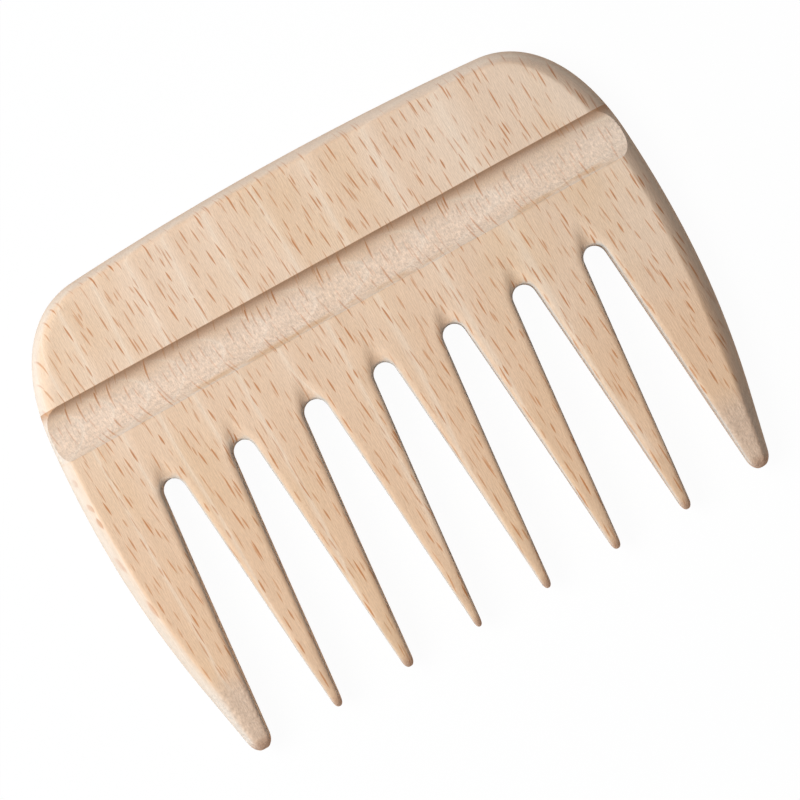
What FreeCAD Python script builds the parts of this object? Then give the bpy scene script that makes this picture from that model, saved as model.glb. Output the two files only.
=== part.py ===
import FreeCAD, Part
import math
import os
from FreeCAD import Vector

# Wide-tooth palm comb carved from one flat-sawn beech board, divided at the lines of its own carving.
# It lies on its back: X along the width, Y from the tooth tips to the grip, Z up through the thickness.
# The origin is under the middle of the outline, on the plane that the comb rests on.

# Board and its bands, from the tips to the back edge, in millimetres
COMB_WIDTH = 95.0
BOARD_THICKNESS = 9.0
TOOTH_LENGTH = 40.3
ROOT_BAR_HEIGHT = 9.0
GROOVE_WIDTH = 7.9
GRIP_HEIGHT = 15.9

# Finger groove on each face
GROOVE_DEPTH = 2.2

# Teeth and the gaps between them
TOOTH_COUNT = 8
END_TOOTH_ROOT_WIDTH = 11.5
END_TOOTH_TIP_WIDTH = 2.9
INNER_TOOTH_TIP_WIDTH = 1.45
GAP_ROOT_RADIUS = 1.65

# Rounded edges: the comb's outline, and both edges of every gap
OUTLINE_ROUND = 2.4
GAP_ROUND = 1.0

# Run-out that the edge cutter leaves in each face above a gap
SCOOP_LENGTH = 3.8
SCOOP_DEPTH = 1.5

# Back edge, shoulders and sides of the outline
CROWN_RADIUS = 445.0
SIDE_RADIUS = 172.0
SHOULDER_REACH = 14.4
SHOULDER_DROP = 20.6
CROWN_HANDLE = 7.2
SIDE_HANDLE = 12.3

# Outer edge of an end tooth: it bends over this part of the tooth and then runs straight
BOW_SHARE = 0.7

# Tips: sanded ramps thin both faces down to the tip line
END_RAMP_LENGTH = 12.0
INNER_RAMP_LENGTH = 10.0
END_TIP_THICKNESS = 5.0
INNER_TIP_THICKNESS = 4.2

# Tips: lengths over which the width and the thickness round off, and the share of each left at the very end
END_TIP_ROUND = 2.0
INNER_TIP_ROUND = 0.9
RAMP_TIP_ROUND = 2.0
TIP_END_SHARE = 0.49

# Sections through a tooth: along its shank and along its tip
SHANK_SECTIONS = 8
TIP_SECTIONS = 7

# A corner of a thin section takes at most these shares of its width and of its thickness
OUTER_CORNER_SHARE = 0.55
GAP_CORNER_SHARE = 0.38
CORNER_THICKNESS_SHARE = 0.45

# How far a cutting tool reaches past the wood
TOOL_MARGIN = 5.0

# Distance within which two heights count as one
SAME = 1e-4

# Levels along Y
COMB_LENGTH = TOOTH_LENGTH + ROOT_BAR_HEIGHT + GROOVE_WIDTH + GRIP_HEIGHT
TIP_Y = -COMB_LENGTH / 2
GAP_TOP_Y = TIP_Y + TOOTH_LENGTH
GROOVE_LOW_Y = GAP_TOP_Y + ROOT_BAR_HEIGHT
GROOVE_HIGH_Y = GROOVE_LOW_Y + GROOVE_WIDTH
CROWN_Y = GROOVE_HIGH_Y + GRIP_HEIGHT

# Gap centres, spread between the two end teeth
HALF_WIDTH = COMB_WIDTH / 2
GAP_COUNT = TOOTH_COUNT - 1
FIRST_GAP_X = -HALF_WIDTH + END_TOOTH_ROOT_WIDTH + GAP_ROOT_RADIUS
PITCH = -2 * FIRST_GAP_X / (GAP_COUNT - 1)
GAP_CENTRES = [FIRST_GAP_X + PITCH * number for number in range(GAP_COUNT)]

# A gap's sides are tangents of its round root, and leave an inner tooth its tip width at the tip line
GAP_CENTRE_Y = GAP_TOP_Y - GAP_ROOT_RADIUS
TIP_HALF_GAP = (PITCH - INNER_TOOTH_TIP_WIDTH) / 2
GAP_REACH = math.hypot(TIP_HALF_GAP, GAP_CENTRE_Y - TIP_Y)
GAP_LEAN = math.acos(GAP_ROOT_RADIUS / GAP_REACH) - math.atan2(GAP_CENTRE_Y - TIP_Y, TIP_HALF_GAP)

# The teeth start where the sides touch the round root
ROOT_Y = GAP_CENTRE_Y + GAP_ROOT_RADIUS * math.sin(GAP_LEAN)
SHANK_LENGTH = ROOT_Y - TIP_Y


def half_gap(y):
    """Half the width of a gap at height y, below its round root."""
    return GAP_ROOT_RADIUS / math.cos(GAP_LEAN) + (GAP_CENTRE_Y - y) * math.tan(GAP_LEAN)


def side_draw_in(y):
    """How far the outer edge of an end tooth has drawn in from the comb's side at height y."""
    tip_edge = -FIRST_GAP_X + half_gap(TIP_Y) + END_TOOTH_TIP_WIDTH
    share = (ROOT_Y - y) / SHANK_LENGTH
    bent = min(share, BOW_SHARE)
    straight = share - bent
    rise = bent ** 2 + 2 * BOW_SHARE * straight
    return (HALF_WIDTH - tip_edge) * rise / (BOW_SHARE * (2 - BOW_SHARE))


def tip_share(from_tip, length):
    """Share of its full size that a rounded tip keeps at a distance from its end."""
    inside = max(0.0, 1 - from_tip / length)
    return math.sqrt(1 - (1 - TIP_END_SHARE ** 2) * inside ** 2)


def tooth_thickness(from_tip, ramp_length, tip_thickness):
    """Thickness of a tooth at a distance from its end: full, then along the ramps, then round."""
    inside = max(0.0, 1 - from_tip / ramp_length)
    ramped = BOARD_THICKNESS - (BOARD_THICKNESS - tip_thickness) * inside
    return ramped * tip_share(from_tip, RAMP_TIP_ROUND)


def tooth_levels(ramp_length):
    """Heights of a tooth's sections, from its root to its tip, closest together at the tip."""
    shank = [ROOT_Y - (SHANK_LENGTH - ramp_length) * step / SHANK_SECTIONS for step in range(SHANK_SECTIONS)]
    tip = [TIP_Y + ramp_length * (1 - step / TIP_SECTIONS) ** 2 for step in range(TIP_SECTIONS + 1)]
    return shank + tip


def tooth_section(y, left, right, thickness, left_round, right_round):
    """Rectangle with round corners across a tooth, centred in the board's thickness."""
    low = (BOARD_THICKNESS - thickness) / 2
    high = low + thickness
    corner = math.sqrt(0.5)

    def arc(x, z, radius, side, up):
        """Corner arc about (x, z): side and up are the signs of the corner's direction."""
        ends = [Vector(x + side * radius, y, z), Vector(x, y, z + up * radius)]
        if side * up < 0:
            ends.reverse()
        middle = Vector(x + side * radius * corner, y, z + up * radius * corner)
        return Part.Arc(ends[0], middle, ends[1]).toShape()

    corners = [
        arc(right - right_round, low + right_round, right_round, 1, -1),
        arc(right - right_round, high - right_round, right_round, 1, 1),
        arc(left + left_round, high - left_round, left_round, -1, 1),
        arc(left + left_round, low + left_round, left_round, -1, -1),
    ]
    edges = []
    for number, edge in enumerate(corners):
        following = corners[(number + 1) % len(corners)]
        edges.append(edge)
        edges.append(Part.makeLine(edge.lastVertex(True).Point, following.firstVertex(True).Point))
    return Part.Wire(edges)


def make_tooth(number):
    """One tooth as a ruled loft through its sections, counted from the left end."""
    is_left_end = number == 0
    is_right_end = number == TOOTH_COUNT - 1
    is_end = is_left_end or is_right_end
    ramp_length = END_RAMP_LENGTH if is_end else INNER_RAMP_LENGTH
    tip_thickness = END_TIP_THICKNESS if is_end else INNER_TIP_THICKNESS
    tip_round = END_TIP_ROUND if is_end else INNER_TIP_ROUND
    sections = []
    for y in tooth_levels(ramp_length):
        left = -HALF_WIDTH + side_draw_in(y) if is_left_end else GAP_CENTRES[number - 1] + half_gap(y)
        right = HALF_WIDTH - side_draw_in(y) if is_right_end else GAP_CENTRES[number] - half_gap(y)
        middle = (left + right) / 2
        width = (right - left) * tip_share(y - TIP_Y, tip_round)
        thickness = tooth_thickness(y - TIP_Y, ramp_length, tip_thickness)
        thickness_limit = CORNER_THICKNESS_SHARE * thickness
        outer_round = min(OUTLINE_ROUND, OUTER_CORNER_SHARE * width, thickness_limit)
        gap_round = min(GAP_ROUND, GAP_CORNER_SHARE * width, thickness_limit)
        sections.append(tooth_section(
            y, middle - width / 2, middle + width / 2, thickness,
            outer_round if is_left_end else gap_round,
            outer_round if is_right_end else gap_round))
    return Part.makeLoft(sections, True, True)


def outline_face():
    """Flat outline of the comb above its teeth, with the back edge crowned and the sides bowed."""
    shoulder_x = HALF_WIDTH - SHOULDER_REACH
    shoulder_y = CROWN_Y - SHOULDER_DROP
    crown_angle = math.asin(shoulder_x / CROWN_RADIUS)
    side_angle = math.asin((shoulder_y - ROOT_Y) / SIDE_RADIUS)

    def side_point(angle):
        """Point on the right side, at an angle round the centre of its bow."""
        return Vector(HALF_WIDTH - SIDE_RADIUS * (1 - math.cos(angle)), ROOT_Y + SIDE_RADIUS * math.sin(angle), 0)

    def crown_point(angle):
        """Point on the right half of the back edge, at an angle round the centre of its crown."""
        return Vector(CROWN_RADIUS * math.sin(angle), CROWN_Y - CROWN_RADIUS * (1 - math.cos(angle)), 0)

    crown_end = crown_point(crown_angle)
    along_crown = Vector(math.cos(crown_angle), -math.sin(crown_angle), 0)
    side_end = side_point(side_angle)
    along_side = Vector(-math.sin(side_angle), math.cos(side_angle), 0)
    shoulder = Part.BezierCurve()
    shoulder.setPoles([side_end, side_end + along_side * SIDE_HANDLE,
                       crown_end + along_crown * CROWN_HANDLE, crown_end])
    side = Part.Arc(side_point(0), side_point(side_angle / 2), side_end)
    crown = Part.Arc(crown_end, crown_point(crown_angle / 2), crown_point(0))
    right_edges = [side.toShape(), shoulder.toShape(), crown.toShape()]
    left_edges = [edge.mirror(Vector(0, 0, 0), Vector(1, 0, 0)) for edge in right_edges]
    base = Part.makeLine(Vector(-HALF_WIDTH, ROOT_Y, 0), Vector(HALF_WIDTH, ROOT_Y, 0))
    edges = Part.sortEdges([base] + right_edges + left_edges)[0]
    return Part.Face(Part.Wire(edges))


def is_gap_edge(edge):
    """Whether an edge is the round root of a gap."""
    return isinstance(edge.Curve, Part.Circle) and abs(edge.Curve.Radius - GAP_ROOT_RADIUS) < SAME


def face_edges(shape):
    """Edges that lie in the front or back face, leaving out the straight ones where the teeth start."""
    found = []
    for edge in shape.Edges:
        box = edge.BoundBox
        in_face = box.ZLength < SAME and min(abs(box.ZMin), abs(box.ZMax - BOARD_THICKNESS)) < SAME
        at_teeth = box.YMax - ROOT_Y < SAME
        if in_face and not at_teeth:
            found.append(edge)
    return found


def groove_tool():
    """Round bar that hollows the finger groove in the front face."""
    radius = ((GROOVE_WIDTH / 2) ** 2 + GROOVE_DEPTH ** 2) / (2 * GROOVE_DEPTH)
    middle_y = (GROOVE_LOW_Y + GROOVE_HIGH_Y) / 2
    start = Vector(-HALF_WIDTH - TOOL_MARGIN, middle_y, BOARD_THICKNESS - GROOVE_DEPTH + radius)
    return Part.makeCylinder(radius, COMB_WIDTH + 2 * TOOL_MARGIN, start, Vector(1, 0, 0))


def scoop_tool(x):
    """Round bar that sinks from the front face down into the root of the gap at x."""
    slope = math.atan2(SCOOP_DEPTH, SCOOP_LENGTH)
    along = Vector(0, -math.cos(slope), -math.sin(slope))
    outward = Vector(0, -math.sin(slope), math.cos(slope))
    run_out = Vector(x, GAP_TOP_Y + SCOOP_LENGTH, BOARD_THICKNESS)
    start = run_out + outward * GAP_ROOT_RADIUS - along * TOOL_MARGIN
    reach = TOOL_MARGIN + (SCOOP_LENGTH + GAP_ROOT_RADIUS) / math.cos(slope)
    return Part.makeCylinder(GAP_ROOT_RADIUS, reach, start, along)


def both_faces(tool):
    """A tool for the front face, and its mirror image for the back."""
    return [tool, tool.mirror(Vector(0, 0, BOARD_THICKNESS / 2), Vector(0, 0, 1))]


def make_body():
    """Everything above the teeth: outline, rounded edges, gap roots, finger grooves and scoops."""
    body = outline_face().extrude(Vector(0, 0, BOARD_THICKNESS))
    for x in GAP_CENTRES:
        start = Vector(x, GAP_CENTRE_Y, -TOOL_MARGIN)
        body = body.cut(Part.makeCylinder(GAP_ROOT_RADIUS, BOARD_THICKNESS + 2 * TOOL_MARGIN, start))
    body = body.makeFillet(OUTLINE_ROUND, [edge for edge in face_edges(body) if not is_gap_edge(edge)])
    body = body.makeFillet(GAP_ROUND, [edge for edge in face_edges(body) if is_gap_edge(edge)])
    tools = both_faces(groove_tool())
    for x in GAP_CENTRES:
        tools += both_faces(scoop_tool(x))
    return body.cut(tools)


def band(body, low, high):
    """The part of the body between two heights."""
    size = Vector(COMB_WIDTH + 2 * TOOL_MARGIN, high - low, BOARD_THICKNESS + 2 * TOOL_MARGIN)
    corner = Vector(-size.x / 2, low, -TOOL_MARGIN)
    return body.common(Part.makeBox(size.x, size.y, size.z, corner))


def tooth_name(number):
    """Name of a tooth, counted from the left end."""
    if number == 0:
        return "end_tooth_left"
    if number == TOOTH_COUNT - 1:
        return "end_tooth_right"
    return f"tooth_{number + 1}"


def main():
    body = make_body()
    pieces = {
        "grip": band(body, GROOVE_HIGH_Y, CROWN_Y + TOOL_MARGIN),
        "finger_groove": band(body, GROOVE_LOW_Y, GROOVE_HIGH_Y),
        "root_bar": band(body, ROOT_Y, GROOVE_LOW_Y),
    }
    for number in range(TOOTH_COUNT):
        pieces[tooth_name(number)] = make_tooth(number)
    os.makedirs("parts", exist_ok=True)
    for name, shape in pieces.items():
        solid = shape.Solids[0]
        solid.exportStep(os.path.join("parts", name + ".step"))
        print(f"{name}: {len(shape.Solids)} solid, valid {shape.isValid()}, {shape.Volume:.0f} mm3")


main()
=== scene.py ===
import math

import bmesh
import bpy
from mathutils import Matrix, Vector


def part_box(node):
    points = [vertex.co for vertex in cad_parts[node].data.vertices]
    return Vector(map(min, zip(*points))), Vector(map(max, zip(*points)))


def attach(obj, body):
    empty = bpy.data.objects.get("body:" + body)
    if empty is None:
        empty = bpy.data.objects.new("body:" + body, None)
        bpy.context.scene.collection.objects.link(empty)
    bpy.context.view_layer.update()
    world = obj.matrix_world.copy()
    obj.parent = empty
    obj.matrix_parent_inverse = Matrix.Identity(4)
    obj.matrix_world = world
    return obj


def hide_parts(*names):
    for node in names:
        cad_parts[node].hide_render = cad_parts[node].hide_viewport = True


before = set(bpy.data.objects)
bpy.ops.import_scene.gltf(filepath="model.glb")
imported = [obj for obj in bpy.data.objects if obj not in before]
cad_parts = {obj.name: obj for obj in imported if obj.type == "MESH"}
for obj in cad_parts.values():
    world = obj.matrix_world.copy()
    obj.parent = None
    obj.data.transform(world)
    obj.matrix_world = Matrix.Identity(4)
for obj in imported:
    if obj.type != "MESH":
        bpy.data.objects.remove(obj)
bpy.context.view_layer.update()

MM = 0.001

# Places taken from the frame
TEETH = ["end_tooth_left"] + [f"tooth_{number}" for number in range(2, 8)] + ["end_tooth_right"]
HALF_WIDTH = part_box("root_bar")[1].x
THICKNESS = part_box("root_bar")[1].z
ROOT_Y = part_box("root_bar")[0].y
GROOVE_LOW_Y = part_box("finger_groove")[0].y
GROOVE_HIGH_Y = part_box("grip")[0].y
CROWN_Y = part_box("grip")[1].y
TIP_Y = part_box("tooth_2")[0].y
SHANK_LENGTH = ROOT_Y - TIP_Y
GAP_CENTRES = [(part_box(left)[1].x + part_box(right)[0].x) / 2 for left, right in zip(TEETH, TEETH[1:])]
HALF_GAP = (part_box(TEETH[1])[0].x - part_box(TEETH[0])[1].x) / 2

# Outline above the teeth
CROWN_RADIUS = 445.0 * MM
SIDE_RADIUS = 172.0 * MM
SHOULDER_REACH = 14.4 * MM
SHOULDER_DROP = 20.6 * MM
CROWN_HANDLE = 7.2 * MM
SIDE_HANDLE = 12.3 * MM
OUTLINE_STEPS = 32
TOUCHING = 0.01 * MM

# Width of the rounded outer edge as seen from above, on the left and on the right of the comb
GRIP_EDGE = (3.0 * MM, 2.8 * MM)
BAR_EDGE = (1.9 * MM, 2.6 * MM)
CROWN_EDGE = 1.9 * MM
EDGE_STEPS = 12
SHOULDER_BLEND = 0.8

# Finger groove, hollowed by a round bar
GROOVE_DEPTH = 2.2 * MM
GROOVE_BAR_SIDES = 128
GROOVE_BAR_LENGTH = 3 * HALF_WIDTH

# Gaps: round root, rounded edges and the scoop that runs out of the root into each face
GAP_ROOT_RADIUS = 1.65 * MM
GAP_EDGE = 0.9 * MM
TIP_GAP_EDGE = 0.6 * MM
SCOOP_DEPTH = 1.1 * MM
SCOOP_LENGTH = 3.8 * MM
SCOOP_STEPS = 10
SCOOP_POINT = 4
PIN_SIDES = 64
PIN_OVERSHOOT = 1 * MM
GAP_BOW = 0.08 * MM

# The gaps were sawn by hand: how far each lies beside its even place, and how much wider its root is
SAW_CUTS = [
    (-0.15 * MM, 0.25 * MM),
    (-0.12 * MM, 0.20 * MM),
    (0.16 * MM, 0.45 * MM),
    (-0.08 * MM, 0.15 * MM),
    (-0.16 * MM, 0.20 * MM),
    (-0.15 * MM, 0.35 * MM),
    (-0.05 * MM, 0.35 * MM),
]

# Teeth
INNER_TIP_WIDTH = 1.15 * MM
END_TIP_WIDTH = (3.1 * MM, 2.55 * MM)
BOW_SHARE = 0.7
END_RAMP_LENGTH = 12.0 * MM
INNER_RAMP_LENGTH = 10.0 * MM
END_TIP_THICKNESS = 5.0 * MM
INNER_TIP_THICKNESS = 4.2 * MM
END_TIP_ROUND = 1.5 * MM
INNER_TIP_ROUND = 0.9 * MM
RAMP_TIP_ROUND = 2.0 * MM
TIP_END_SHARE = 0.42
RAMP_END_SHARE = 0.3
TIP_SLANT = 0.85 * MM
RAMP_POWER = 1.4
TENON = 0.4 * MM
SHANK_STEPS = 12
TIP_STEPS = 14

# Most that an edge takes of a tooth's width, or of half its thickness, where the tooth gets thin
GAP_EDGE_OF_WIDTH = 0.35
GAP_EDGE_OF_HALF = 0.7
LEFT_EDGE_OF_WIDTH = 0.4
RIGHT_EDGE_OF_WIDTH = 0.3

# Sanding: size of the even skin of small faces, and passes that ease the arrises
SKIN_SIZE = 0.25 * MM
SANDING_PASSES = 7
SANDING_PRESSURE = 0.5
ARRIS_ANGLE = 40

# The pieces meet beside the groove's arrises, in the flat of the faces
SEAM_OFFSET = 0.7 * MM

# Faces narrower than this are slivers left by a cut
SLIVER = 0.01 * MM


def only_select(piece):
    """Selects one object and makes it the active one."""
    bpy.ops.object.select_all(action="DESELECT")
    piece.select_set(True)
    bpy.context.view_layer.objects.active = piece


def apply_modifier(piece, kind, **settings):
    """Adds a modifier with its settings and applies it."""
    only_select(piece)
    modifier = piece.modifiers.new(kind.lower(), kind)
    for name, setting in settings.items():
        setattr(modifier, name, setting)
    bpy.ops.object.modifier_apply(modifier=modifier.name)


def cut_away(piece, tool):
    """Cuts a closed tool out of a closed piece and removes the tool."""
    apply_modifier(piece, "BOOLEAN", operation="DIFFERENCE", solver="EXACT", object=tool)
    bpy.data.objects.remove(tool)


def smooth_share(value, start, end):
    """Soft step from 0 at start to 1 at end."""
    share = min(1.0, max(0.0, (value - start) / (end - start)))
    return share * share * (3 - 2 * share)


def between(first, second, share):
    """Value a share of the way from the first to the second."""
    return first + (second - first) * share


def number_stations(piece):
    """Gives each vertex of a flat loop its number, which the vertices drawn out of it keep."""
    shape = bmesh.from_edit_mesh(piece.data)
    station = shape.verts.layers.int.new("station")
    shape.verts.ensure_lookup_table()
    for number, vertex in enumerate(shape.verts):
        vertex[station] = number
    bmesh.update_edit_mesh(piece.data)


def place_stations(piece, places):
    """Brings each selected vertex to the place of its station."""
    shape = bmesh.from_edit_mesh(piece.data)
    station = shape.verts.layers.int["station"]
    for vertex in shape.verts:
        if vertex.select:
            vertex.co = places[vertex[station]]
    bmesh.update_edit_mesh(piece.data)


def draw_through(piece, sections):
    """Draws a filled loop out through sections, each a list of places for the loop's stations."""
    only_select(piece)
    bpy.ops.object.mode_set(mode="EDIT")
    bpy.ops.mesh.select_all(action="SELECT")
    number_stations(piece)
    place_stations(piece, sections[0])
    for places in sections[1:]:
        bpy.ops.mesh.extrude_region_move()
        place_stations(piece, places)
    bpy.ops.mesh.select_all(action="SELECT")
    bpy.ops.mesh.normals_make_consistent(inside=False)
    bpy.ops.object.mode_set(mode="OBJECT")


def round_edge_inset(height, half_thickness, width, softness):
    """How far a rounded edge lies inside its widest line at a height above it.

    It is one arc from face to face or, where it is soft, half an ellipse that runs out into the faces.
    """
    radius = (half_thickness ** 2 + width ** 2) / (2 * width)
    arc = radius - math.sqrt(radius ** 2 - height ** 2)
    ellipse = width * (1 - math.sqrt(max(0.0, 1 - (height / half_thickness) ** 2)))
    return between(arc, ellipse, softness)


def corner_inset(height, half_thickness, radius):
    """How far a wall with a round corner at each face is drawn in at a height above its middle."""
    into_corner = max(0.0, abs(height) - half_thickness + radius)
    return radius - math.sqrt(radius ** 2 - into_corner ** 2)


def edge_heights(half):
    """Heights of a rounded edge's stations from the back face to the front, closest at the faces."""
    count = 2 * EDGE_STEPS
    return [-half * math.cos(math.pi * step / count) for step in range(count + 1)]


def outline_controls():
    """Control points of the board's outline: place, handle before it and handle after it."""
    shoulder_x = HALF_WIDTH - SHOULDER_REACH
    crown_angle = math.asin(shoulder_x / CROWN_RADIUS)
    crown_end = Vector((shoulder_x, CROWN_Y - CROWN_RADIUS * (1 - math.cos(crown_angle)), 0))
    along_crown = Vector((math.cos(crown_angle), -math.sin(crown_angle), 0))
    side_top = CROWN_Y - SHOULDER_DROP
    side_angle = math.asin((side_top - ROOT_Y) / SIDE_RADIUS)
    side_end = Vector((HALF_WIDTH - SIDE_RADIUS * (1 - math.cos(side_angle)), side_top, 0))
    along_side = Vector((-math.sin(side_angle), math.cos(side_angle), 0))
    crown_third = Vector((shoulder_x / 3, 0, 0))
    side_third = (side_end.y - ROOT_Y) / 3
    base = Vector((HALF_WIDTH, ROOT_Y, 0))
    base_third = Vector((HALF_WIDTH * 2 / 3, 0, 0))
    apex = Vector((0, CROWN_Y, 0))
    right = [
        (base, base - base_third, base + Vector((0, side_third, 0))),
        (side_end, side_end - along_side * side_third, side_end + along_side * SIDE_HANDLE),
        (crown_end, crown_end + along_crown * CROWN_HANDLE, crown_end - along_crown * crown_third.x),
    ]
    mirror = Vector((-1, 1, 1))
    left = [(place * mirror, after * mirror, before * mirror) for place, before, after in reversed(right)]
    return right + [(apex, apex + crown_third, apex - crown_third)] + left


def outline_curve():
    """Closed outline of the board above the teeth, drawn with a few control points."""
    controls = outline_controls()
    bpy.ops.curve.primitive_bezier_circle_add()
    outline = bpy.context.object
    outline.data.resolution_u = OUTLINE_STEPS
    points = outline.data.splines[0].bezier_points
    points.add(len(controls) - len(points))
    for point, (place, before, after) in zip(points, controls):
        point.handle_left_type = "FREE"
        point.handle_right_type = "FREE"
        point.co = place
        point.handle_left = before
        point.handle_right = after
    bpy.ops.object.convert(target="MESH")
    return bpy.context.object


def outer_edge_width(x, y):
    """Width of the rounded outer edge at a place on the outline."""
    hand = 0 if x < 0 else 1
    side = between(BAR_EDGE[hand], GRIP_EDGE[hand], smooth_share(y, GROOVE_LOW_Y, GROOVE_HIGH_Y))
    shoulder_start = HALF_WIDTH - SHOULDER_BLEND * SHOULDER_REACH
    return between(CROWN_EDGE, side, smooth_share(abs(x), shoulder_start, HALF_WIDTH))


def outer_edge_softness(x, y):
    """How softly the rounded outer edge runs out into the faces: most at the grip's left."""
    to_left = smooth_share(-x, -HALF_WIDTH / 2, HALF_WIDTH / 2)
    return to_left * smooth_share(y, GROOVE_LOW_Y, GROOVE_HIGH_Y)


def outline_inward(loop):
    """Direction, reach and softness of the rounded edge at each station of the board's outline."""
    inward = []
    for number, place in enumerate(loop):
        on_base = place.y < ROOT_Y + TOUCHING
        if on_base and abs(place.x) < HALF_WIDTH - TOUCHING:
            direction = Vector((0, 0, 0))
        elif on_base:
            direction = Vector((-math.copysign(1, place.x), 0, 0))
        else:
            along = (loop[(number + 1) % len(loop)] - loop[number - 1]).normalized()
            direction = Vector((-along.y, along.x, 0))
        width = outer_edge_width(place.x, place.y)
        inward.append((direction, width, outer_edge_softness(place.x, place.y)))
    return inward


def board_blank():
    """Board above the teeth: the outline drawn out from face to face along its rounded edge."""
    board = outline_curve()
    bpy.ops.object.mode_set(mode="EDIT")
    bpy.ops.mesh.select_all(action="SELECT")
    bpy.ops.mesh.remove_doubles(threshold=TOUCHING)
    bpy.ops.mesh.edge_face_add()
    bpy.ops.object.mode_set(mode="OBJECT")
    loop = [vertex.co.copy() for vertex in board.data.vertices]
    inward = outline_inward(loop)
    half = THICKNESS / 2

    def layer(height):
        rise = Vector((0, 0, half + height))
        return [place + direction * round_edge_inset(height, half, width, softness) + rise
                for place, (direction, width, softness) in zip(loop, inward)]

    draw_through(board, [layer(height) for height in edge_heights(half)])
    return board


def groove_tool(face_z, outward):
    """Round bar that hollows the finger groove in one face."""
    radius = ((GROOVE_HIGH_Y - GROOVE_LOW_Y) ** 2 / 4 + GROOVE_DEPTH ** 2) / (2 * GROOVE_DEPTH)
    middle_y = (GROOVE_LOW_Y + GROOVE_HIGH_Y) / 2
    bpy.ops.mesh.primitive_cylinder_add(
        vertices=GROOVE_BAR_SIDES, radius=radius, depth=GROOVE_BAR_LENGTH, rotation=(0, math.pi / 2, 0),
        location=(0, middle_y, face_z + outward * (radius - GROOVE_DEPTH)))
    return bpy.context.object


def gap_middle(gap):
    """Middle of a gap as sawn."""
    return GAP_CENTRES[gap] + SAW_CUTS[gap][0]


def half_gap(gap, y):
    """Half the width of a gap as sawn, at height y below its root."""
    pitch = GAP_CENTRES[1] - GAP_CENTRES[0]
    share = (ROOT_Y - y) / SHANK_LENGTH
    straight = between(HALF_GAP + SAW_CUTS[gap][1] / 2, (pitch - INNER_TIP_WIDTH) / 2, share)
    return straight + GAP_BOW * math.sin(math.pi * share)


def gap_root_tool(gap):
    """Pin through a gap's root, waisted like the gap's sides, that opens at both faces into the scoop."""
    pin_radius = GAP_ROOT_RADIUS + half_gap(gap, ROOT_Y) - HALF_GAP
    drop = math.sqrt(max(0.0, pin_radius ** 2 - half_gap(gap, ROOT_Y) ** 2))
    half = THICKNESS / 2
    centre = Vector((gap_middle(gap), ROOT_Y - drop, half))
    turns = [2 * math.pi * step / PIN_SIDES for step in range(PIN_SIDES)]

    def ring(height, scoop):
        radius = pin_radius + corner_inset(min(height, half), half, GAP_EDGE)
        return [Vector((radius * math.cos(turn),
                        radius * math.sin(turn) + scoop * max(0.0, math.sin(turn)) ** SCOOP_POINT,
                        height)) for turn in turns]

    shares = [step / SCOOP_STEPS for step in range(SCOOP_STEPS + 1)]
    rings = [ring((half - SCOOP_DEPTH) * share, 0.0) for share in shares[:-1]]
    rings += [ring(half - SCOOP_DEPTH * (1 - share) ** 2, SCOOP_LENGTH * share) for share in shares]
    rings.append(ring(half + PIN_OVERSHOOT, SCOOP_LENGTH))
    flip = Vector((1, 1, -1))
    rings = [[place * flip for place in places] for places in reversed(rings[1:])] + rings
    bpy.ops.mesh.primitive_circle_add(vertices=PIN_SIDES, fill_type="NGON")
    tool = bpy.context.object
    draw_through(tool, [[centre + place for place in places] for places in rings])
    return tool


def side_draw_in(hand, y):
    """How far the left (0) or right (1) end tooth has drawn in from the comb's side at height y."""
    tip_edge = GAP_CENTRES[-1] + half_gap(-1, TIP_Y) + END_TIP_WIDTH[hand]
    share = (ROOT_Y - y) / SHANK_LENGTH
    bent = min(share, BOW_SHARE)
    rise = bent ** 2 + 2 * BOW_SHARE * (share - bent)
    return (HALF_WIDTH - tip_edge) * rise / (BOW_SHARE * (2 - BOW_SHARE))


def tip_share(from_tip, length, end_share):
    """Share of its full size that a rounded tip keeps at a distance from its end."""
    inside = max(0.0, 1 - from_tip / length)
    return math.sqrt(1 - (1 - end_share ** 2) * inside ** 2)


def gap_side(half, radius):
    """Stations of a tooth's side along a gap, from the back face to the front: inset and height."""
    turns = [math.pi / 2 * step / EDGE_STEPS for step in range(EDGE_STEPS + 1)]
    rises = [half - radius * (1 - math.sin(turn)) for turn in turns]
    heights = [-rise for rise in reversed(rises)] + rises
    return [(corner_inset(height, half, radius), height) for height in heights]


def outer_side(half, edge_width, softness):
    """Stations of an end tooth's outer side, from the back face to the front: inset and height."""
    heights = edge_heights(half)
    return [(round_edge_inset(height, half, edge_width, softness), height) for height in heights]


def is_left_end(number):
    """Whether a tooth is the comb's left end tooth."""
    return number == 0


def is_right_end(number):
    """Whether a tooth is the comb's right end tooth."""
    return number == len(TEETH) - 1


def is_end(number):
    """Whether a tooth is one of the two broad end teeth."""
    return is_left_end(number) or is_right_end(number)


def tip_y(number):
    """Height at which a tooth ends; the tips were trimmed along a slightly slanting line."""
    return TIP_Y + TIP_SLANT * number / (len(TEETH) - 1)


def ramp_length(number):
    """Length over which a tooth gets thinner towards its tip."""
    return END_RAMP_LENGTH if is_end(number) else INNER_RAMP_LENGTH


def tooth_left(number, y):
    """Left side of a tooth at height y."""
    if is_left_end(number):
        return -HALF_WIDTH + side_draw_in(0, y)
    return gap_middle(number - 1) + half_gap(number - 1, y)


def tooth_right(number, y):
    """Right side of a tooth at height y."""
    if is_right_end(number):
        return HALF_WIDTH - side_draw_in(1, y)
    return gap_middle(number) - half_gap(number, y)


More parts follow.
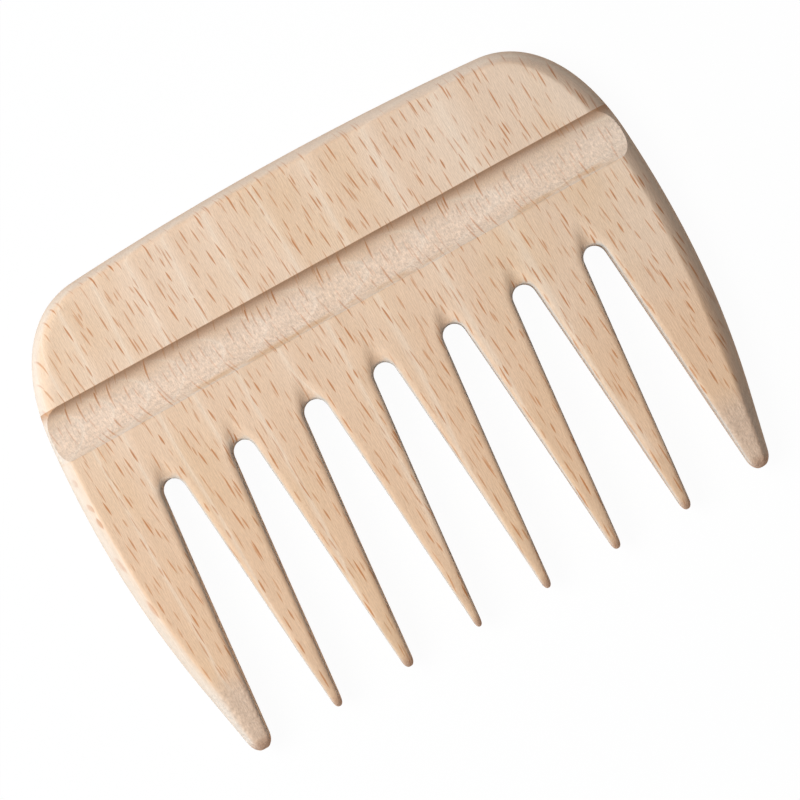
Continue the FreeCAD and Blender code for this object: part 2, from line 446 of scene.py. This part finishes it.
def tooth_section(number, y):
    """Places of the stations around a tooth at height y, up its right side and down its left."""
    from_tip = y - tip_y(number)
    reach = min(y, ROOT_Y)
    left = tooth_left(number, reach)
    right = tooth_right(number, reach)
    middle = (left + right) / 2
    tip_round = END_TIP_ROUND if is_end(number) else INNER_TIP_ROUND
    width = (right - left) * tip_share(from_tip, tip_round, TIP_END_SHARE)
    ramp = max(0.0, 1 - from_tip / ramp_length(number)) ** RAMP_POWER
    tip_thickness = END_TIP_THICKNESS if is_end(number) else INNER_TIP_THICKNESS
    thickness = between(THICKNESS, tip_thickness, ramp)
    half = thickness * tip_share(from_tip, RAMP_TIP_ROUND, RAMP_END_SHARE) / 2
    gap_edge = between(GAP_EDGE, TIP_GAP_EDGE, min(1.0, 2 * (ROOT_Y - reach) / SHANK_LENGTH))
    along_gap = gap_side(half, min(gap_edge, GAP_EDGE_OF_WIDTH * width, GAP_EDGE_OF_HALF * half))
    left_side = along_gap
    right_side = along_gap
    if is_left_end(number):
        left_side = outer_side(half, min(BAR_EDGE[0], LEFT_EDGE_OF_WIDTH * width, half), min(1.0, 2 * ramp))
    if is_right_end(number):
        right_side = outer_side(half, min(BAR_EDGE[1], RIGHT_EDGE_OF_WIDTH * width, half), 0.0)
    mid_z = THICKNESS / 2
    up = [Vector((middle + width / 2 - inset, y, mid_z + height)) for inset, height in right_side]
    down = [Vector((middle - width / 2 + inset, y, mid_z + height)) for inset, height in left_side]
    return up + down[::-1]


def tooth_levels(number):
    """Heights of a tooth's sections, from inside the bar to its tip, closest together at the tip."""
    length = ramp_length(number)
    ramp_start = tip_y(number) + length
    shank = [between(ROOT_Y, ramp_start, step / SHANK_STEPS) for step in range(SHANK_STEPS)]
    tip = [tip_y(number) + length * (1 - step / TIP_STEPS) ** 2 for step in range(TIP_STEPS + 1)]
    return [ROOT_Y + TENON] + shank + tip


def carve_tooth(number):
    """One tooth, drawn out section by section from inside the bar to its tip."""
    sections = [tooth_section(number, level) for level in tooth_levels(number)]
    bpy.ops.mesh.primitive_circle_add(vertices=len(sections[0]), fill_type="NGON")
    tooth = bpy.context.object
    draw_through(tooth, sections)
    return tooth


def carve_comb():
    """The whole comb as the one piece of wood that it is, with an even, lightly sanded skin."""
    comb = board_blank()
    for gap in range(len(GAP_CENTRES)):
        cut_away(comb, gap_root_tool(gap))
    teeth = [carve_tooth(number) for number in range(len(TEETH))]
    only_select(comb)
    for tooth in teeth:
        tooth.select_set(True)
    bpy.ops.object.join()
    apply_modifier(comb, "REMESH", mode="VOXEL", voxel_size=SKIN_SIZE, adaptivity=0.0)
    apply_modifier(comb, "SMOOTH", factor=SANDING_PRESSURE, iterations=SANDING_PASSES)
    cut_away(comb, groove_tool(THICKNESS, 1))
    cut_away(comb, groove_tool(0, -1))
    clear_slivers(comb)
    return comb


def clear_slivers(piece):
    """Merges the slivers that cuts leave, so that the skin is whole."""
    only_select(piece)
    bpy.ops.object.mode_set(mode="EDIT")
    bpy.ops.mesh.select_all(action="SELECT")
    bpy.ops.mesh.remove_doubles(threshold=SLIVER)
    bpy.ops.mesh.dissolve_degenerate(threshold=SLIVER)
    bpy.ops.object.mode_set(mode="OBJECT")
    piece.data.validate()


def keep_band(comb, name, low=None, high=None):
    """Copy of the comb between two heights, closed where it is cut."""
    only_select(comb)
    bpy.ops.object.duplicate()
    piece = bpy.context.object
    piece.name = name
    bpy.ops.object.mode_set(mode="EDIT")
    for height, normal in ((low, (0, -1, 0)), (high, (0, 1, 0))):
        if height is not None:
            bpy.ops.mesh.select_all(action="SELECT")
            bpy.ops.mesh.bisect(plane_co=(0, height, 0), plane_no=normal, use_fill=True, clear_outer=True)
    bpy.ops.object.mode_set(mode="OBJECT")
    return piece


def separate_teeth(comb):
    """The eight teeth as pieces of their own, from left to right."""
    teeth = keep_band(comb, "comb_teeth", high=ROOT_Y)
    only_select(teeth)
    bpy.ops.object.mode_set(mode="EDIT")
    bpy.ops.mesh.select_all(action="SELECT")
    bpy.ops.mesh.separate(type="LOOSE")
    bpy.ops.object.mode_set(mode="OBJECT")
    pieces = sorted(bpy.context.selected_objects, key=lambda tooth: tooth.bound_box[0][0])
    for piece, node in zip(pieces, TEETH):
        piece.name = "comb_" + node
    return pieces


def divide_comb(comb):
    """The comb's named pieces, divided along the same lines as the part, each with its node."""
    groove_low = GROOVE_LOW_Y - SEAM_OFFSET
    groove_high = GROOVE_HIGH_Y + SEAM_OFFSET
    pieces = [
        keep_band(comb, "comb_grip", low=groove_high),
        keep_band(comb, "comb_finger_groove", low=groove_low, high=groove_high),
        keep_band(comb, "comb_root_bar", low=ROOT_Y, high=groove_low),
    ]
    pieces += separate_teeth(comb)
    bpy.data.objects.remove(comb)
    return list(zip(pieces, ["grip", "finger_groove", "root_bar"] + TEETH))


# Growth of the beech, in millimetres in the comb's frame: the heart lay above the comb, to its right
HEART_X = 58.0
HEART_Z = 243.0
RING_SPACING = 2.0
RAY_LEAN = 0.075
RING_WANDER = 3.0
RING_DRIFT = 1.0

# Places on the comb in millimetres, for the masks of its wood
FACE_Z_MM = THICKNESS / MM
GROOVE_LOW_MM = GROOVE_LOW_Y / MM
GROOVE_HIGH_MM = GROOVE_HIGH_Y / MM
LAST_GAP_MM = GAP_CENTRES[-1] / MM
MID_TOOTH_MM = (TIP_Y + SHANK_LENGTH / 2) / MM
MID_GRIP_MM = (CROWN_Y + GROOVE_HIGH_Y) / 2 / MM
MID_TIP_MM = (TIP_Y + TIP_SLANT / 2) / MM

# Colours of the wood, written as 0 to 255 steps of red, green and blue
# The grip's colour is paler than the teeth's: painted light from the grip's side
TOOTH_WOOD_SHADED = (230, 193, 160)
GRIP_WOOD_LIT = (237, 208, 182)
SAPWOOD = (232, 213, 194)
HONEY_PATCH = (226, 188, 146)
LATE_WOOD = (222, 184, 150)
RING_LINE = (243, 222, 200)
GROOVE_WOOD = (220, 201, 185)
TIP_WOOD = (212, 187, 168)
# Pale tone on rounded edges and walls: painted reflection of the white surroundings, which also lightens
# the shaded walls
PAINTED_EDGE_REFLECTION = (229, 223, 214)
WARM_TIP = (206, 150, 112)
# Brown under the groove's upper arris: painted shade of the groove's upper wall, with a brown stain along
# the arris
ARRIS_SHADE_AND_STAIN = (188, 136, 94)
GROOVE_STAIN = (208, 160, 104)
RAY_FLECK = (190, 118, 60)

# How strongly each colour shows where its mask is full
SAPWOOD_SHARE = 0.35
HONEY_SHARE = 0.5
LATE_WOOD_SHARE = 0.3
RING_LINE_SHARE = 0.42
RING_LINE_IN_GROOVE = 0.25
GROOVE_WOOD_SHARE = 0.55
TIP_WOOD_SHARE = 0.6
EDGE_REFLECTION_SHARE = 0.65
WARM_TIP_SHARE = 0.55
ARRIS_SHADE_AND_STAIN_SHARE = 0.75
STAIN_SHARE = 0.5

# Where each mask starts and where it is full: along x, y or the height over the tips in millimetres
SAPWOOD_X = (5.0, 40.0)
SAPWOOD_Y = (-14.0, 2.0)
END_TOOTH_X = (LAST_GAP_MM, LAST_GAP_MM + 3.0)
GROOVE_RISE = (GROOVE_LOW_MM - 0.1, GROOVE_LOW_MM + 1.2)
GROOVE_FALL = (GROOVE_HIGH_MM - 0.8, GROOVE_HIGH_MM - 3.6)
ARRIS_SHADE_AND_STAIN_RISE = (GROOVE_HIGH_MM - 1.8, GROOVE_HIGH_MM)
ARRIS_SHADE_AND_STAIN_FALL = (GROOVE_HIGH_MM + 0.1, GROOVE_HIGH_MM)
STAIN_MIDDLE = GROOVE_LOW_MM + 0.4
STAIN_REACH = (0.8, 0.1)
TIP_WOOD_HEIGHT = (14.0, 8.0)
RING_LINE_HEIGHT = (6.0, 14.0)
WARM_TIP_HEIGHT = (2.2, 0.4)

# The same for masks on the way from one ring to the next, on a cloudy value or on the level of the skin
LATE_WOOD_RISE = (0.1, 0.8)
LATE_WOOD_FALL = (1.0, 0.82)
RING_LINE_RISE = (0.0, 0.05)
RING_LINE_FALL = (0.17, 0.05)
HONEY_CLOUD = (0.42, 0.85)
STAIN_CLOUD = (0.42, 0.66)
EDGE_REFLECTION_LEVEL = (0.92, 0.4)
FACE_LEVEL = (0.15, 0.6)
FLECK_LEVEL = (0.3, 0.8)

# Ray flecks: width and length of a cell in millimetres, and a shift that sets the two scatters apart
LONG_FLECKS = (1.5, 5.0, 0.0)
SHORT_FLECKS = (2.7, 4.2, 17.3)
SHORT_FLECK_SHARE = 0.7
FLECK_SHARE = 0.85
FLECK_LOSS_IN_GROOVE = -0.35

# Shape of a fleck: its least half width, half length and strength, each with what chance adds to it
FLECK_SCATTER = 0.9
FLECK_ROW_SHIFT = 1.7
FLECK_LEAN = 0.1
FLECK_FADE = (-0.04, 0.06)
FLECK_HALF_WIDTH = (0.09, 0.05)
FLECK_HALF_LENGTH = (0.18, 0.24)
FLECK_STRENGTH = (0.5, 0.5)

# Waves of each grain to the millimetre along the three axes
WANDER_WAVES = (0.05, 0.012, 0.05)
DRIFT_WAVES = (0.03, 0.012, 0.06)
HONEY_WAVES = (0.09, 0.05, 0.09)
STAIN_WAVES = (0.16, 0.9, 0.3)
STREAK_WAVES = (4.0, 0.22, 4.0)
PORE_WAVES = (5.0, 1.5, 5.0)
PIT_WAVES = (2.2, 2.0, 2.2)
MOTTLE_WAVES = (0.5, 0.25, 0.5)
FIBRE_WAVES = (5.0, 0.9, 5.0)
DENT_WAVES = (1.6, 1.4, 1.6)
WAVE_ROUGHNESS = 0.55

# How much each grain changes the brightness, and the height of the relief
STREAK_SWING = 0.22
PORE_SWING = 0.26
PIT_SWING = 0.6
MOTTLE_SWING = 0.08
DENT_SHARE = 2.0
RELIEF_HEIGHT = 0.05 * MM

# Finish: sanded and unvarnished, with a faint sheen on the faces alone
ROUGHNESS = 0.55
FACE_SHEEN = 0.15


def linear(red, green, blue):
    """Shader colour for a colour written as 0 to 255 steps of red, green and blue."""
    steps = [channel / 255 for channel in (red, green, blue)]
    return [step / 12.92 if step <= 0.04045 else ((step + 0.055) / 1.055) ** 2.4 for step in steps] + [1.0]


def add_node(tree, kind, inputs, **settings):
    """Adds a shader node; each input is set to a value or linked to another node's output."""
    node = tree.nodes.new(kind)
    for name, setting in settings.items():
        setattr(node, name, setting)
    for key, value in inputs.items():
        if isinstance(value, bpy.types.NodeSocket):
            tree.links.new(value, node.inputs[key])
        else:
            node.inputs[key].default_value = value
    return node


def calculate(tree, operation, *values):
    """Result of a sum on values or other nodes' outputs."""
    return add_node(tree, "ShaderNodeMath", dict(enumerate(values)), operation=operation).outputs[0]


def multiply(tree, first, second):
    """Product of two values or outputs."""
    return calculate(tree, "MULTIPLY", first, second)


def add(tree, first, second):
    """Sum of two values or outputs."""
    return calculate(tree, "ADD", first, second)


def step_between(tree, value, start, end):
    """Soft step from 0 at start to 1 at end."""
    inputs = {"Value": value, "From Min": start, "From Max": end}
    return add_node(tree, "ShaderNodeMapRange", inputs, interpolation_type="SMOOTHSTEP").outputs[0]


def band(tree, value, rise, fall):
    """1 inside a band, with a soft step up at its rise and a soft step down at its fall."""
    return multiply(tree, step_between(tree, value, *rise), step_between(tree, value, *fall))


def blend(tree, share, first, second):
    """Colour a share of the way from the first to the second."""
    return add_node(tree, "ShaderNodeMix", {0: share, 6: first, 7: second}, data_type="RGBA").outputs[2]


def tint(tree, colour, mask, share, tone):
    """Colour that takes on a share of a tone where the mask is full."""
    return blend(tree, multiply(tree, mask, share), colour, linear(*tone))


def noise(tree, place, waves, detail=2.0):
    """Cloudy value from 0 to 1 with so many waves to the millimetre along each axis."""
    scaled = add_node(tree, "ShaderNodeVectorMath", {0: place, 1: waves}, operation="MULTIPLY")
    inputs = {"Vector": scaled.outputs[0], "Scale": 1.0, "Detail": detail, "Roughness": WAVE_ROUGHNESS}
    return add_node(tree, "ShaderNodeTexNoise", inputs).outputs[0]


def swing(tree, value, reach):
    """Noise turned into a swing to both sides of zero."""
    return multiply(tree, calculate(tree, "SUBTRACT", value, 0.5), reach)


def ray_flecks(tree, ray, y, cell_width, cell_length, shift):
    """Scattered spindles, the cut ends of the wood's rays, one in each cell: 0 beside them to 1 inside."""
    column = calculate(tree, "MULTIPLY_ADD", ray, 1 / cell_width, shift)
    row = calculate(tree, "MULTIPLY_ADD", y, 1 / cell_length, shift * FLECK_ROW_SHIFT)
    cell = add_node(tree, "ShaderNodeCombineXYZ", {0: column, 1: row}).outputs[0]
    inputs = {"Vector": cell, "Scale": 1.0, "Randomness": FLECK_SCATTER}
    cells = add_node(tree, "ShaderNodeTexVoronoi", inputs, voronoi_dimensions="2D")
    inputs = {0: cell, 1: cells.outputs["Position"]}
    offset = add_node(tree, "ShaderNodeVectorMath", inputs, operation="SUBTRACT")
    offset = add_node(tree, "ShaderNodeSeparateXYZ", {0: offset.outputs[0]})
    first, second, third = add_node(tree, "ShaderNodeSeparateColor", {0: cells.outputs["Color"]}).outputs
    along = multiply(tree, offset.outputs[1], cell_length)
    across = multiply(tree, offset.outputs[0], cell_width)
    across = calculate(tree, "MULTIPLY_ADD", along, swing(tree, third, FLECK_LEAN), across)
    shortest, longer = [share * cell_length for share in FLECK_HALF_LENGTH]
    half_length = calculate(tree, "MULTIPLY_ADD", first, longer, shortest)
    narrowest, wider = FLECK_HALF_WIDTH
    half_width = calculate(tree, "MULTIPLY_ADD", second, wider, narrowest)
    taper = calculate(tree, "POWER", calculate(tree, "DIVIDE", along, half_length), 2.0)
    room = multiply(tree, half_width, calculate(tree, "SUBTRACT", 1.0, taper))
    room = calculate(tree, "SUBTRACT", room, calculate(tree, "ABSOLUTE", across))
    weakest, stronger = FLECK_STRENGTH
    strength = calculate(tree, "MULTIPLY_ADD", second, stronger, weakest)
    return multiply(tree, step_between(tree, room, *FLECK_FADE), strength)


def place_on_comb(tree):
    """Place in the comb's frame in millimetres."""
    coordinates = add_node(tree, "ShaderNodeTexCoord", {})
    inputs = {0: coordinates.outputs["Object"], "Scale": 1 / MM}
    return add_node(tree, "ShaderNodeVectorMath", inputs, operation="SCALE").outputs[0]


def growth(tree, place, x, y, z):
    """Place along the rings, counted where the rays meet the front face, and place between two rings."""
    wander = swing(tree, noise(tree, place, WANDER_WAVES, 1.0), RING_WANDER)
    across = add(tree, calculate(tree, "SUBTRACT", x, HEART_X), wander)
    below = calculate(tree, "SUBTRACT", HEART_Z, z)
    ray = multiply(tree, calculate(tree, "DIVIDE", across, below), HEART_Z - FACE_Z_MM)
    ray = calculate(tree, "MULTIPLY_ADD", y, RAY_LEAN, ray)
    squares = add(tree, calculate(tree, "POWER", across, 2.0), calculate(tree, "POWER", below, 2.0))
    radius = calculate(tree, "SQRT", squares)
    drift = swing(tree, noise(tree, place, DRIFT_WAVES), RING_DRIFT)
    ring = calculate(tree, "FRACT", calculate(tree, "MULTIPLY_ADD", radius, 1 / RING_SPACING, drift))
    return ray, ring


def groove_band(tree, y):
    """Rougher, paler wood in the hollow of the finger groove."""
    return band(tree, y, GROOVE_RISE, GROOVE_FALL)


def height_over_tips(tree, x, y):
    """Height above the slanting line that the tips end on."""
    slanted = calculate(tree, "MULTIPLY_ADD", x, -0.5 * TIP_SLANT / HALF_WIDTH, y)
    return calculate(tree, "SUBTRACT", slanted, MID_TIP_MM)


def end_tooth_tips(tree, x, from_tip):
    """Rougher, paler wood on the ramps of the two end teeth."""
    outermost = step_between(tree, calculate(tree, "ABSOLUTE", x), *END_TOOTH_X)
    return multiply(tree, step_between(tree, from_tip, *TIP_WOOD_HEIGHT), outermost)


def face_level(tree):
    """1 on the flat of the two faces and 0 on upright walls."""
    geometry = add_node(tree, "ShaderNodeNewGeometry", {})
    normal = add_node(tree, "ShaderNodeSeparateXYZ", {0: geometry.outputs["Normal"]})
    return calculate(tree, "ABSOLUTE", normal.outputs[2])


def wood_colour_and_grip_light(tree, place, x, y, ring):
    """Colour of the wood: paler towards the grip as painted light from the grip's side, paler towards the
    right as sapwood, with patches and late wood.
    """
    # Paler towards the grip: painted light from the grip's side
    grip_side_light = step_between(tree, y, MID_TOOTH_MM, MID_GRIP_MM)
    colour = blend(tree, grip_side_light, linear(*TOOTH_WOOD_SHADED), linear(*GRIP_WOOD_LIT))
    sapwood = multiply(tree, step_between(tree, x, *SAPWOOD_X), step_between(tree, y, *SAPWOOD_Y))
    colour = tint(tree, colour, sapwood, SAPWOOD_SHARE, SAPWOOD)
    patches = step_between(tree, noise(tree, place, HONEY_WAVES), *HONEY_CLOUD)
    colour = tint(tree, colour, patches, HONEY_SHARE, HONEY_PATCH)
    late_wood = band(tree, ring, LATE_WOOD_RISE, LATE_WOOD_FALL)
    return tint(tree, colour, late_wood, LATE_WOOD_SHARE, LATE_WOOD)


def ring_line_share(tree, ring, groove, from_tip):
    """Pale line at the edge of each ring, stronger in the groove and lost at the tips."""
    line = band(tree, ring, RING_LINE_RISE, RING_LINE_FALL)
    share = calculate(tree, "MULTIPLY_ADD", groove, RING_LINE_IN_GROOVE, RING_LINE_SHARE)
    return multiply(tree, multiply(tree, line, share), step_between(tree, from_tip, *RING_LINE_HEIGHT))


def groove_stain(tree, place, y):
    """Broken honey line along the groove's lower arris."""
    beside = calculate(tree, "ABSOLUTE", calculate(tree, "SUBTRACT", y, STAIN_MIDDLE))
    broken = step_between(tree, noise(tree, place, STAIN_WAVES, 3.0), *STAIN_CLOUD)
    return multiply(tree, step_between(tree, beside, *STAIN_REACH), broken)


def fleck_share(tree, ray, y, groove, tips, level):
    """Both scatters of ray flecks, fainter in the groove and lost on the walls and the end teeth's tips."""
    short = multiply(tree, ray_flecks(tree, ray, y, *SHORT_FLECKS), SHORT_FLECK_SHARE)
    flecks = calculate(tree, "MAXIMUM", ray_flecks(tree, ray, y, *LONG_FLECKS), short)
    fainter = calculate(tree, "MULTIPLY_ADD", groove, FLECK_LOSS_IN_GROOVE, FLECK_SHARE)
    flecks = multiply(tree, flecks, fainter)
    on_faces = step_between(tree, level, *FLECK_LEVEL)
    return multiply(tree, flecks, calculate(tree, "SUBTRACT", on_faces, tips))


def grain_brightness(tree, place, shaped):
    """Brightness of the fine grain around 1: streaks, pores and mottle, with pits where wood was shaped."""
    streaks = swing(tree, noise(tree, place, STREAK_WAVES, 3.0), STREAK_SWING)
    pores = swing(tree, noise(tree, place, PORE_WAVES), PORE_SWING)
    pits = swing(tree, noise(tree, place, PIT_WAVES), multiply(tree, shaped, PIT_SWING))
    mottle = swing(tree, noise(tree, place, MOTTLE_WAVES), MOTTLE_SWING)
    return add(tree, add(tree, streaks, pores), add(tree, add(tree, mottle, pits), 1.0))


def grain_relief(tree, place, shaped, facing):
    """Fine fibres in the skin, with small dents where wood was shaped."""
    dents = multiply(tree, noise(tree, place, DENT_WAVES), multiply(tree, shaped, DENT_SHARE))
    height = add(tree, noise(tree, place, FIBRE_WAVES), dents)
    inputs = {"Height": height, "Distance": RELIEF_HEIGHT, "Strength": facing}
    return add_node(tree, "ShaderNodeBump", inputs).outputs[0]


def beech():
    """Steamed beech: growth rings, ray flecks and pores, and paler, rougher wood where it was shaped, with
    painted light: a paler grip, a painted reflection on the edges and walls and painted shade under the
    groove's upper arris.
    """
    material = bpy.data.materials.new("beech")
    material.use_nodes = True
    tree = material.node_tree
    shader = tree.nodes["Principled BSDF"]
    place = place_on_comb(tree)
    x, y, z = add_node(tree, "ShaderNodeSeparateXYZ", {0: place}).outputs
    ray, ring = growth(tree, place, x, y, z)
    groove = groove_band(tree, y)
    from_tip = height_over_tips(tree, x, y)
    tips = end_tooth_tips(tree, x, from_tip)
    shaped = calculate(tree, "MAXIMUM", groove, tips)
    level = face_level(tree)
    facing = step_between(tree, level, *FACE_LEVEL)

    colour = wood_colour_and_grip_light(tree, place, x, y, ring)
    colour = blend(tree, ring_line_share(tree, ring, groove, from_tip), colour, linear(*RING_LINE))
    colour = tint(tree, colour, groove, GROOVE_WOOD_SHARE, GROOVE_WOOD)
    colour = tint(tree, colour, tips, TIP_WOOD_SHARE, TIP_WOOD)
    # Paler where the skin turns from the faces: painted reflection on the rounded edges and painted light
    # on the shaded walls
    colour = tint(tree, colour, step_between(tree, level, *EDGE_REFLECTION_LEVEL), EDGE_REFLECTION_SHARE, PAINTED_EDGE_REFLECTION)
    colour = tint(tree, colour, step_between(tree, from_tip, *WARM_TIP_HEIGHT), WARM_TIP_SHARE, WARM_TIP)
    # Painted shade of the groove's upper wall, darkest at the arris, with a brown stain along it
    arris_shade_and_stain = band(tree, y, ARRIS_SHADE_AND_STAIN_RISE, ARRIS_SHADE_AND_STAIN_FALL)
    colour = tint(tree, colour, arris_shade_and_stain, ARRIS_SHADE_AND_STAIN_SHARE, ARRIS_SHADE_AND_STAIN)
    colour = tint(tree, colour, groove_stain(tree, place, y), STAIN_SHARE, GROOVE_STAIN)
    flecks = fleck_share(tree, ray, y, groove, tips, level)
    colour = blend(tree, flecks, colour, linear(*RAY_FLECK))
    inputs = {0: colour, "Scale": grain_brightness(tree, place, shaped)}
    colour = add_node(tree, "ShaderNodeVectorMath", inputs, operation="SCALE").outputs[0]

    tree.links.new(colour, shader.inputs["Base Color"])
    tree.links.new(grain_relief(tree, place, shaped, facing), shader.inputs["Normal"])
    shader.inputs["Roughness"].default_value = ROUGHNESS
    tree.links.new(multiply(tree, facing, FACE_SHEEN), shader.inputs["Specular IOR Level"])
    return material


# Camera: straight above the comb, turned so that the comb lies aslant across the picture
VIEW_TURN = 28.96
VIEW_X = -0.05 * MM
VIEW_Y = -2.18 * MM
VIEW_DISTANCE = 800.0 * MM
VIEW_WIDTH = 114.65 * MM
SENSOR_WIDTH = 36.0
CLIP_START = 10 * MM
CLIP_END = 10.0

# Soft boxes: azimuth and elevation in degrees, distance and size in metres, power in watts, colour
WINDOW_LIGHT = (152, 60, 0.8, 0.5, 6.4, (1.0, 1.0, 1.0))
LEFT_PANEL = (182, 22, 0.6, 0.3, 0.9, (0.62, 0.95, 1.2))

# Surroundings: light of the white dome, and the floor's colours and size
DOME_STRENGTH = 0.05
FLOOR_SIZE = 6.0
FLOOR_WHITE_SHARE = 0.965
BOUNCE_COLOUR = (1.0, 0.74, 0.54, 1)
PAPER_COLOUR = (0.95, 0.95, 0.95, 1)


def add_camera():
    """Camera straight above the comb."""
    bpy.ops.object.camera_add(
        location=(VIEW_X, VIEW_Y, THICKNESS / 2 + VIEW_DISTANCE), rotation=(0, 0, -math.radians(VIEW_TURN)))
    camera = bpy.context.object
    camera.data.sensor_width = SENSOR_WIDTH
    camera.data.lens = SENSOR_WIDTH * VIEW_DISTANCE / VIEW_WIDTH
    camera.data.clip_start = CLIP_START
    camera.data.clip_end = CLIP_END
    bpy.context.scene.camera = camera


def add_soft_light(name, azimuth, elevation, distance, size, power, colour):
    """Round soft box that looks at the comb."""
    turn = math.radians(azimuth)
    rise = math.radians(elevation)
    towards = Vector((math.cos(turn) * math.cos(rise), math.sin(turn) * math.cos(rise), math.sin(rise)))
    bpy.ops.object.light_add(type="AREA", location=towards * distance)
    light = bpy.context.object
    light.name = name
    light.rotation_euler = towards.to_track_quat("Z", "Y").to_euler()
    light.data.shape = "DISK"
    light.data.size = size
    light.data.energy = power
    light.data.color = colour


def looked_at(tree):
    """1 where the surroundings are seen, straight or in a reflection, and 0 where they only give light."""
    path = add_node(tree, "ShaderNodeLightPath", {}).outputs
    mirrored = calculate(tree, "MAXIMUM", path["Is Glossy Ray"], path["Is Transmission Ray"])
    return calculate(tree, "MAXIMUM", path["Is Camera Ray"], mirrored)


def add_world():
    """White surroundings that look white and give only a little light."""
    world = bpy.data.worlds.new("white_studio")
    bpy.context.scene.world = world
    world.use_nodes = True
    tree = world.node_tree
    background = tree.nodes["Background"]
    background.inputs["Color"].default_value = (1, 1, 1, 1)
    inputs = {"Value": looked_at(tree), "To Min": DOME_STRENGTH, "To Max": 1.0}
    strength = add_node(tree, "ShaderNodeMapRange", inputs)
    tree.links.new(strength.outputs[0], background.inputs["Strength"])


def add_floor():
    """White paper under the comb, which looks nearly shadowless and throws back a warm light."""
    bpy.ops.mesh.primitive_plane_add(size=FLOOR_SIZE, location=(0, 0, 0))
    floor = bpy.context.object
    floor.name = "floor"
    material = bpy.data.materials.new("white_floor")
    material.use_nodes = True
    tree = material.node_tree
    tree.nodes.remove(tree.nodes["Principled BSDF"])
    bounce = add_node(tree, "ShaderNodeBsdfDiffuse", {"Color": BOUNCE_COLOUR}).outputs[0]
    paper = add_node(tree, "ShaderNodeBsdfDiffuse", {"Color": PAPER_COLOUR}).outputs[0]
    white = add_node(tree, "ShaderNodeEmission", {}).outputs[0]
    seen = add_node(tree, "ShaderNodeMixShader", {0: FLOOR_WHITE_SHARE, 1: paper, 2: white}).outputs[0]
    by_ray = add_node(tree, "ShaderNodeMixShader", {0: looked_at(tree), 1: bounce, 2: seen})
    tree.links.new(by_ray.outputs[0], tree.nodes["Material Output"].inputs["Surface"])
    floor.data.materials.append(material)


def main():
    """Carves the comb, divides it into its pieces and sets up the picture."""
    bpy.context.scene.view_settings.view_transform = "Standard"
    wood = beech()
    for piece, node in divide_comb(carve_comb()):
        clear_slivers(piece)
        bpy.ops.object.shade_smooth_by_angle(angle=math.radians(ARRIS_ANGLE))
        piece.data.materials.clear()
        piece.data.materials.append(wood)
        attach(piece, "root")
        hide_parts(node)
    add_camera()
    add_soft_light("window_light", *WINDOW_LIGHT)
    add_soft_light("left_panel", *LEFT_PANEL)
    add_world()
    add_floor()


main()
